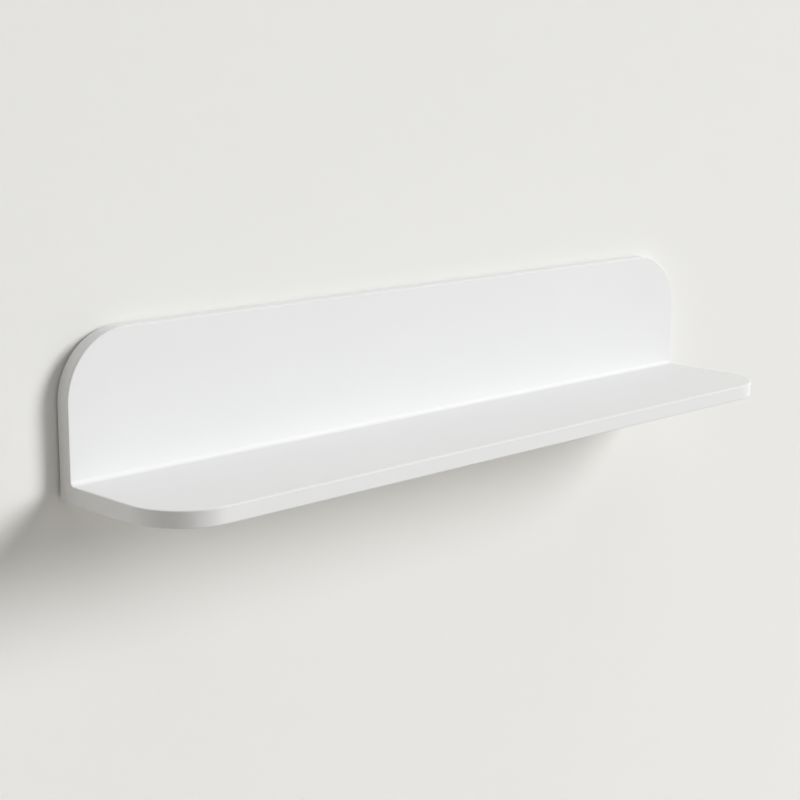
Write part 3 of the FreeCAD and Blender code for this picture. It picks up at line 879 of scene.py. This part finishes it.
def bore_tool(outline, place, count, spacing, rows=1, row_spacing=0.0):
    """A row or grid of round cutters; reach runs towards the front from the place."""
    return turned_mesh([(radius, reach, 0) for radius, reach in outline], {
        "Place": place,
        "Count": count,
        "Spacing": spacing,
        "Rows": rows,
        "Row Spacing": row_spacing,
        "Turn": math.pi,
    })


def dowel_sockets(sizes, fixings, end):
    """Cutters for all the dowels, from the joint to one end."""
    radius = extent(DOWELS[0]).x / 2 + fixings.bore_slack
    outline = round_bore(radius, -SPARE, abs(sizes.joint - end))
    if end > sizes.joint:
        outline = [(across, -reach) for across, reach in reversed(outline)]
    return bore_tool(outline, (0, sizes.joint, sizes.joint_height), len(DOWELS), JOINT_PITCH)


class SHELF_OT_back_panel(bpy.types.Operator):
    """Build the upright back panel with its plate seats, bores and dowel sockets"""

    bl_idname = "shelf.back_panel"
    bl_label = "Back Panel"

    def execute(self, context):
        sizes = context.scene.shelf_boards
        fixings = context.scene.shelf_fixings
        reach = sizes.length
        panel = part_of_form(sizes, (-reach, sizes.joint, -reach), (reach, SPARE, reach))
        dowel_end = corners(DOWELS[0])[1].y + fixings.bore_spare
        sockets = dowel_sockets(sizes, fixings, dowel_end)
        panel = cut_raw(panel, [self.bores(sizes, fixings), sockets, self.seats(fixings)])
        panel = cut_raw(panel, [self.pockets(fixings), self.pilots(fixings)])
        add_piece("back_panel_lacquered", panel, "shelf", ["back_panel"])
        return {"FINISHED"}

    def bores(self, sizes, fixings):
        """Countersunk bores for the joint screws, right through the panel."""
        head = extent("joint_screws").z / 2
        bore = fixings.joint_radius + fixings.bore_slack
        sunk = PANEL_BACK - corners("joint_screws")[1].y
        sink = head - fixings.joint_radius + sunk
        outline = [
            (0, -SPARE),
            (bore + sink + SPARE, -SPARE),
            (bore, sink),
            (bore, sizes.thickness + SPARE),
            (0, sizes.thickness + SPARE),
        ]
        return bore_tool(outline, (0, PANEL_BACK, sizes.joint_height), JOINT_SCREWS, JOINT_PITCH)

    def seats(self, fixings):
        """Shallow seats that the keyhole plates lie in."""
        bm = bmesh.new()
        for plate in PLATES:
            outline = plate_outline(plate, fixings.seat_slack, fixings.facets)
            prism(bm, outline, PANEL_BACK - extent(plate).y, PANEL_BACK + SPARE)
        return mesh_of(bm, "seats")

    def pockets(self, fixings):
        """Room behind the keyholes for the heads of the wall screws."""
        bm = bmesh.new()
        for plate in PLATES:
            centre = middle(plate)
            low = centre.z - fixings.entry_drop
            high = low + fixings.travel
            outline = upright_slot(centre.x, low, high, fixings.pocket_radius, fixings.facets)
            floor = PANEL_BACK - extent(plate).y - fixings.pocket_depth
            prism(bm, outline, floor, PANEL_BACK + SPARE)
        return mesh_of(bm, "pockets")

    def pilots(self, fixings):
        """Pilot holes for the plate screws."""
        depth = extent("hanger_screws").y + fixings.bore_spare
        outline = round_bore(fixings.hanger_radius + fixings.bore_slack, -SPARE, depth)
        place = (0, PANEL_BACK, middle("hanger_screws").z)
        return bore_tool(outline, place, len(PLATES), WALL_SCREW_SPAN, 2, 2 * fixings.hole_reach)


class SHELF_OT_shelf_board(bpy.types.Operator):
    """Build the board that carries things, with its dowel sockets and pilot holes"""

    bl_idname = "shelf.shelf_board"
    bl_label = "Shelf Board"

    def execute(self, context):
        sizes = context.scene.shelf_boards
        fixings = context.scene.shelf_fixings
        reach = sizes.length
        board = part_of_form(sizes, (-reach, -reach, -reach), (reach, sizes.joint, sizes.shelf_top))
        sockets = dowel_sockets(sizes, fixings, corners(DOWELS[0])[0].y - fixings.bore_spare)
        depth = sizes.joint - corners("joint_screws")[0].y + fixings.bore_spare
        outline = round_bore(fixings.joint_radius + fixings.bore_slack, -SPARE, depth)
        pilots = bore_tool(outline, (0, sizes.joint, sizes.joint_height), JOINT_SCREWS, JOINT_PITCH)
        board = cut_raw(board, [sockets, pilots])
        add_piece("shelf_board_lacquered", board, "shelf", ["shelf_board"])
        return {"FINISHED"}


class SHELF_OT_cove_bead(bpy.types.Operator):
    """Build the filler bead that softens the inside corner"""

    bl_idname = "shelf.cove_bead"
    bl_label = "Cove Bead"

    def execute(self, context):
        sizes = context.scene.shelf_boards
        reach = sizes.length
        low = (-reach, sizes.joint - sizes.cove, sizes.shelf_top)
        high = (reach, sizes.joint, sizes.shelf_top + sizes.cove)
        bead = part_of_form(sizes, low, high)
        merge_close(bead)
        add_piece("cove_bead_lacquered", bead, "shelf", ["cove_bead"])
        return {"FINISHED"}


# Screws

# Rows of facets along one turn of a thread
THREAD_ROWS = 14
# Dulled rim of a countersunk head
HEAD_RIM = 0.08 * MM
# How far the middle of a domed head stands above the start of its rounded side
HEAD_CROWN = 0.15 * MM
# Broken edge under a domed head
HEAD_EDGE = 0.1 * MM
DOME_FACETS = 12


def paired_head_radius(node):
    """Radius of the heads of screws that stand as far apart as the two plates."""
    return (extent(node).x - WALL_SCREW_SPAN) / 2


def countersunk_head(radius, shank):
    """Outline of a countersunk head, from its middle to the shank."""
    return [(0, 0), (radius - 2 * HEAD_RIM, 0), (radius - HEAD_RIM, HEAD_RIM), (shank, radius - shank)]


def domed_head(radius, fixings):
    """Outline of a low domed head with a faint crown, from its middle to the neck."""
    dome, height = fixings.head_dome, fixings.head_height
    flat = radius - dome
    outline = [(0, 0), (flat / 2, HEAD_CROWN / 4), (flat, HEAD_CROWN)]
    for angle in spaced(QUARTER_TURN, 0, DOME_FACETS)[1:]:
        outline.append((flat + dome * math.cos(angle), dome - (dome - HEAD_CROWN) * math.sin(angle)))
    outline.append((radius, height - HEAD_EDGE))
    outline.append((radius - HEAD_EDGE, height))
    outline.append((fixings.neck_radius, height))
    return outline


def screw_outline(head, plain_end, length, tip, core, pitch):
    """Outline of a screw from its head, which ends on the shank, to its point, with its thread's share."""
    shank = head[-1][0]
    outline = [(radius, reach, 0) for radius, reach in (*head, (shank, plain_end))]
    start = plain_end + abs(shank - core)
    rows = math.ceil((length - start) / (pitch / THREAD_ROWS))
    for reach in spaced(start, length, rows):
        taper = min(1.0, (length - reach) / tip)
        run_in = min(1.0, (reach - start) / pitch)
        outline.append((core * taper, reach, taper * run_in))
    return outline


def add_screws(kind, body, head, head_radius, plain_end, placing):
    """Turn one kind of screw with its thread and recess, and set its copies in their places."""
    fixings = bpy.context.scene.shelf_fixings
    node = f"{kind}_screws"
    crest, pitch, tip = (getattr(fixings, f"{kind}_{size}") for size in ("radius", "thread", "tip"))
    core = crest * fixings.core_share
    screws = turned_mesh(screw_outline(head, plain_end, extent(node).y, tip, core, pitch), {
        "Thread Pitch": pitch,
        "Thread Height": crest * (1 - fixings.core_share),
        "Ridge Share": fixings.ridge_share,
        "Recess Reach": head_radius * fixings.recess_share,
        "Recess Width": fixings.recess_width,
        "Recess Depth": fixings.recess_depth,
        "Finish": finish("turned_zinc"),
        **placing,
    })
    add_piece(f"{node}_turned", screws, body, [node])


class SHELF_OT_joint_screws(bpy.types.Operator):
    """Build the countersunk screws that hold the board to the panel from behind"""

    bl_idname = "shelf.joint_screws"
    bl_label = "Joint Screws"

    def execute(self, context):
        fixings = context.scene.shelf_fixings
        size, centre = extent("joint_screws"), middle("joint_screws")
        head_radius = size.z / 2
        shank = fixings.joint_radius * (1 + fixings.core_share) / 2
        head = countersunk_head(head_radius, shank)
        add_screws("joint", "shelf", head, head_radius, plain_end=size.y / 3, placing={
            "Place": (centre.x, corners("joint_screws")[1].y, centre.z),
            "Turn": math.pi,
            "Count": JOINT_SCREWS,
            "Spacing": JOINT_PITCH,
            "Seed": 3,
        })
        return {"FINISHED"}


class SHELF_OT_hanger_screws(bpy.types.Operator):
    """Build the small countersunk screws that hold the keyhole plates"""

    bl_idname = "shelf.hanger_screws"
    bl_label = "Hanger Screws"

    def execute(self, context):
        fixings = context.scene.shelf_fixings
        centre = middle("hanger_screws")
        head_radius = paired_head_radius("hanger_screws")
        shank = fixings.hanger_radius * fixings.core_share
        head = countersunk_head(head_radius, shank)
        add_screws("hanger", "shelf", head, head_radius, plain_end=head_radius, placing={
            "Place": (centre.x, corners("hanger_screws")[1].y, centre.z),
            "Turn": math.pi,
            "Count": len(PLATES),
            "Spacing": WALL_SCREW_SPAN,
            "Rows": 2,
            "Row Spacing": 2 * fixings.hole_reach,
            "Seed": 8,
        })
        return {"FINISHED"}


class SHELF_OT_wall_screws(bpy.types.Operator):
    """Build the two round-head screws in the wall that the keyholes hang on"""

    bl_idname = "shelf.wall_screws"
    bl_label = "Wall Screws"

    def execute(self, context):
        start = corners("wall_screws")[0].y
        head_radius = paired_head_radius("wall_screws")
        head = domed_head(head_radius, context.scene.shelf_fixings)
        add_screws("wall", "wall_fixing", head, head_radius, plain_end=-start, placing={
            "Place": (0, start, 0),
            "Count": len(PLATES),
            "Spacing": WALL_SCREW_SPAN,
            "Seed": 5,
        })
        return {"FINISHED"}


# Dowels, bumpers and plates

# Facets across one flute of a dowel
FLUTE_FACETS = 8
# Facets round a bumper's rim
RIM_FACETS = 8
# Facets round a stamped edge
EDGE_FACETS = 4


def add_turned(nodes, name, outline, inputs):
    """Turn a piece for each node, at the node's place and from an outline for its size."""
    for index, node in enumerate(nodes, start=1):
        size, centre = extent(node), middle(node)
        mesh = turned_mesh(outline(size.x / 2, size.y), {
            "Place": (centre.x, corners(node)[0].y, centre.z),
            "Seed": index,
            **inputs,
        })
        add_piece(f"{name}_{index}", mesh, "shelf", [node])


class SHELF_OT_joint_dowels(bpy.types.Operator):
    """Build the fluted beech dowels that line the two boards up"""

    bl_idname = "shelf.joint_dowels"
    bl_label = "Joint Dowels"

    def execute(self, context):
        fixings = context.scene.shelf_fixings
        chamfer = fixings.dowel_chamfer

        def outline(radius, length):
            """A chamfered rod, fluted from end to end."""
            return [
                (0, 0, 0),
                (radius - chamfer, 0, 1),
                (radius, chamfer, 1),
                (radius, length - chamfer, 1),
                (radius - chamfer, length, 1),
                (0, length, 0),
            ]

        add_turned(DOWELS, "joint_dowel_fluted", outline, {
            "Facets": FLUTE_FACETS * fixings.flutes,
            "Flutes": fixings.flutes,
            "Flute Depth": fixings.flute_depth,
            "Finish": finish("beech_wood"),
        })
        return {"FINISHED"}


class SHELF_OT_wall_bumpers(bpy.types.Operator):
    """Build the thin pads that keep the panel off the wall"""

    bl_idname = "shelf.wall_bumpers"
    bl_label = "Wall Bumpers"

    def execute(self, context):
        rim = context.scene.shelf_fixings.bumper_round

        def outline(radius, thickness):
            """A flat pad with a rounded rim on the wall's side."""
            bend = arc(radius - rim, thickness - rim, rim, 0, QUARTER_TURN, RIM_FACETS)
            return [(*point, 0) for point in [(0, 0), (radius, 0), *bend, (0, thickness)]]

        add_turned(BUMPERS, "wall_bumper_moulded", outline, {"Finish": finish("bumper_plastic")})
        return {"FINISHED"}


class SHELF_OT_hanger_plates(bpy.types.Operator):
    """Build the stamped keyhole plates in the panel's back"""

    bl_idname = "shelf.hanger_plates"
    bl_label = "Hanger Plates"

    def execute(self, context):
        for node in PLATES:
            plate = self.plate(node, context.scene.shelf_fixings)
            plate.materials.append(finish("rolled_zinc"))
            add_piece(f"{node}_stamped", plate, "shelf", [node])
        return {"FINISHED"}

    def plate(self, node, fixings):
        """One plate: its outline and keyhole with rounded edges, and its countersunk holes."""
        low, high = corners(node)
        centre = middle(node)
        facets = fixings.facets
        bm = bmesh.new()
        outer, keyhole = [], []
        edge = [(inset, high.y - drop) for inset, drop in eased(fixings.plate_edge, EDGE_FACETS)]
        edge += [(inset, low.y + high.y - y) for inset, y in reversed(edge)]
        for inset, y in edge:
            outer.append(upright_ring(bm, plate_outline(node, -inset, facets), y))
            keyhole.append(upright_ring(bm, self.keyhole(centre, fixings, inset), y))
        rims = [outer, keyhole]
        hole = fixings.hanger_radius + fixings.bore_slack
        sink = paired_head_radius("hanger_screws") - fixings.hanger_radius
        for z in (centre.z - fixings.hole_reach, centre.z + fixings.hole_reach):
            steps = [(hole + sink, high.y), (hole, high.y - sink), (hole, low.y)]
            rims.append([upright_ring(bm, circle(centre.x, z, radius, facets), y) for radius, y in steps])
        for rings in rims:
            loft(bm, rings)
        for side in (0, -1):
            fill(bm, [rings[side] for rings in rims])
        return mesh_of(bm, node + "_mesh")

    def keyhole(self, centre, fixings, inset):
        """Outline of the keyhole: a round entry with a slot above it, both grown by an inset."""
        entry = fixings.entry_radius + inset
        slot = fixings.slot_radius + inset
        entry_z = centre.z - fixings.entry_drop
        neck = math.acos(slot / entry)
        around = arc(centre.x, entry_z, entry, math.pi - neck, 2 * math.pi + neck, 2 * fixings.facets)
        return around + arc(centre.x, entry_z + fixings.travel, slot, 0, math.pi, fixings.facets)


# Stage

# A diffuse depth under this has met one matt surface at most
FIRST_SURFACE = 1.5


def seen_rays(tree):
    """One for what the camera sees, also in metal and through glass, and none for what only gives light."""
    path = add_node(tree, "ShaderNodeLightPath").outputs
    seen = maths(tree, "MAXIMUM", path["Is Camera Ray"], path["Is Glossy Ray"])
    return maths(tree, "MAXIMUM", seen, path["Is Transmission Ray"])


def wall_paint(name, colour, gap=None):
    """Matt wall paint that is clear from behind, and in part clear to the light on the shelf's back."""
    coat = Coat(name)
    tree = coat.tree
    clouds = coat.noise(per_metre=2.5, detail=3)
    stipple = coat.noise(per_metre=420, detail=3)
    coat.wear(
        {"Specular IOR Level": 0.2},
        Base_Color=coat.shades(clouds, colour, darkest=0.995),
        Roughness=coat.spread(stipple, low=0.86, high=0.94),
        Normal=coat.bump(stipple, depth=0.05 * MM, strength=0.15),
    )
    path = add_node(tree, "ShaderNodeLightPath").outputs
    # Light that has met one matt surface passes within the gap, or else wherever the camera doesn't look
    if gap:
        passing = maths(tree, "LESS_THAN", path["Ray Length"], gap)
    else:
        passing = maths(tree, "SUBTRACT", 1.0, path["Is Camera Ray"])
    first = maths(tree, "LESS_THAN", path["Diffuse Depth"], FIRST_SURFACE)
    behind = add_node(tree, "ShaderNodeNewGeometry").outputs["Backfacing"]
    hidden = maths(tree, "MAXIMUM", behind, maths(tree, "MULTIPLY", passing, first))
    coat.cover(hidden, add_node(tree, "ShaderNodeBsdfTransparent").outputs[0])
    return coat.material


def floor_paint(colour, pale, glow):
    """Plain floor that the camera sees as pale wherever the lamps stand."""
    coat = Coat("floor_paint")
    coat.wear(
        {"Specular IOR Level": 0.1},
        Base_Color=coat.shades(coat.noise(per_metre=4, detail=3), colour, darkest=0.98),
        Roughness=coat.spread(coat.noise(per_metre=90, detail=3), low=0.7, high=0.85),
    )
    even = add_node(coat.tree, "ShaderNodeEmission", {"Color": (*pale, 1)}).outputs[0]
    coat.cover(maths(coat.tree, "MULTIPLY", seen_rays(coat.tree), glow), even)
    return coat.material


class SHELF_OT_stage(bpy.types.Operator):
    """Set the backdrop, the floor, the light and the camera"""

    bl_idname = "shelf.stage"
    bl_label = "Stage"

    def execute(self, context):
        stage = context.scene.shelf_stage
        self.wall(stage, context.scene.shelf_boards)
        self.floor(stage)
        self.lamps(stage)
        self.surround(context.scene, stage)
        self.camera(context.scene, stage)
        context.scene.view_settings.view_transform = "Standard"
        return {"FINISHED"}

    def wall(self, stage, sizes):
        """A backdrop at the wall's surface, with a veiled window behind the panel for light on its back."""
        bm = bmesh.new()
        side, top, foot = stage.reach, stage.wall_height, -stage.floor_drop
        edge = upright_ring(bm, [(-side, foot), (side, foot), (side, top), (-side, top)], 0)
        inset = stage.back_window
        half = sizes.length / 2 - inset
        radius = sizes.top_corner - inset
        low = UNDERSIDE + inset
        corner_z = UNDERSIDE + sizes.height - inset - radius
        outline = [(-half, low), (half, low)]
        for corner_x, start in ((half - radius, 0), (radius - half, QUARTER_TURN)):
            outline += arc(corner_x, corner_z, radius, start, start + QUARTER_TURN, sizes.corner_facets)
        window = upright_ring(bm, outline, 0)
        fill(bm, [edge, window])
        veil = bm.faces.new(window)
        veil.material_index = 1
        for face in bm.faces:
            face.normal_update()
            if face.normal.y > 0:
                face.normal_flip()
        mesh = bpy.data.meshes.new("backdrop")
        bm.to_mesh(mesh)
        bm.free()
        mesh.materials.append(wall_paint("wall_paint", stage.wall, stage.back_gap))
        mesh.materials.append(wall_paint("wall_veil", stage.wall))
        return new_object("backdrop", mesh)

    def floor(self, stage):
        """A pale floor in front of the backdrop and behind it."""
        side, z = stage.reach, -stage.floor_drop
        mesh = bpy.data.meshes.new("floor")
        around = [(-side, -side, z), (side, -side, z), (side, side, z), (-side, side, z)]
        mesh.from_pydata(around, [], [range(len(around))])
        mesh.materials.append(floor_paint(stage.floor, stage.surround, stage.floor_glow))
        return new_object("floor", mesh)

    def place(self, side, rise, distance):
        """A place in front of the wall, by its angles and its distance from the shelf."""
        flat = math.cos(rise)
        return distance * Vector((math.sin(side) * flat, -math.cos(side) * flat, math.sin(rise)))

    def lamp(self, name, place, size, power, colour):
        """A round soft lamp that looks at the shelf."""
        light = bpy.data.lights.new(name, "AREA")
        light.shape = "DISK"
        light.size = size
        light.energy = power
        light.color = colour
        lamp = new_object(name, light)
        lamp.location = place
        lamp.rotation_euler = place.to_track_quat("Z", "Y").to_euler()
        return light

    def lamps(self, stage):
        """A large soft key at the front right, a lamp overhead, a low fill, and one behind the backdrop."""
        key = self.place(stage.key_side, stage.key_rise, stage.key_distance)
        self.lamp("key_lamp", key, stage.key_size, stage.key_power, stage.key_colour)
        overhead = self.place(0, stage.top_rise, stage.top_distance)
        self.lamp("top_lamp", overhead, stage.top_size, stage.top_power, stage.top_colour)
        low = self.place(stage.fill_side, stage.fill_rise, stage.fill_distance)
        self.lamp("fill_lamp", low, stage.fill_size, stage.fill_power, stage.top_colour)
        behind = Vector((0, stage.back_distance, stage.back_distance / 2))
        back = self.lamp("back_lamp", behind, stage.back_size, stage.back_power, stage.key_colour)
        back.cycles.max_bounces = 0

    def surround(self, scene, stage):
        """Even dim light from all round, seen as a pale surround."""
        world = bpy.data.worlds.new("surround")
        scene.world = world
        world.use_nodes = True
        tree = world.node_tree
        tree.nodes.clear()
        ambient = add_node(tree, "ShaderNodeBackground")
        ambient.inputs["Color"].default_value = (*stage.ambient_colour, 1)
        ambient.inputs["Strength"].default_value = stage.ambient
        pale = add_node(tree, "ShaderNodeBackground", {"Color": (*stage.surround, 1), "Strength": 1.0})
        mixed = add_node(tree, "ShaderNodeMixShader", {
            0: seen_rays(tree),
            1: ambient.outputs[0],
            2: pale.outputs[0],
        })
        add_node(tree, "ShaderNodeOutputWorld", {"Surface": mixed.outputs[0]})

    def camera(self, scene, stage):
        """A camera at the photograph's viewing angle."""
        data = bpy.data.cameras.new("camera")
        data.lens = stage.camera_lens
        camera = new_object("camera", data)
        heading = Matrix.Rotation(-stage.camera_heading, 4, "Z")
        tilt = Matrix.Rotation(QUARTER_TURN + stage.camera_tilt, 4, "X")
        roll = Matrix.Rotation(stage.camera_roll, 4, "Z")
        camera.rotation_euler = (heading @ tilt @ roll).to_euler()
        camera.location = stage.camera_place
        scene.camera = camera


# Add-on

OPERATORS = (
    SHELF_OT_back_panel,
    SHELF_OT_shelf_board,
    SHELF_OT_cove_bead,
    SHELF_OT_joint_dowels,
    SHELF_OT_joint_screws,
    SHELF_OT_hanger_plates,
    SHELF_OT_hanger_screws,
    SHELF_OT_wall_bumpers,
    SHELF_OT_wall_screws,
    SHELF_OT_stage,
)


class SHELF_PT_builder(bpy.types.Panel):
    """Lists the shelf's settings and the steps that build it"""

    bl_idname = "SHELF_PT_builder"
    bl_label = "Wall Shelf"
    bl_space_type = "VIEW_3D"
    bl_region_type = "UI"
    bl_category = "Shelf"

    def draw(self, context):
        for name, group in SETTINGS.items():
            box = self.layout.box()
            box.label(text=group.__doc__)
            for setting in group.__annotations__:
                box.prop(getattr(context.scene, name), setting)
        for operator in OPERATORS:
            self.layout.operator(operator.bl_idname)


CLASSES = (*SETTINGS.values(), *OPERATORS, SHELF_PT_builder)


def register():
    for cls in CLASSES:
        bpy.utils.register_class(cls)
    for name, group in SETTINGS.items():
        setattr(bpy.types.Scene, name, PointerProperty(type=group))


def unregister():
    for name in SETTINGS:
        delattr(bpy.types.Scene, name)
    for cls in reversed(CLASSES):
        bpy.utils.unregister_class(cls)


def main():
    register()
    for operator in OPERATORS:
        step = operator.bl_idname.split(".")[1]
        getattr(bpy.ops.shelf, step)()


if __name__ == "__main__":
    main()
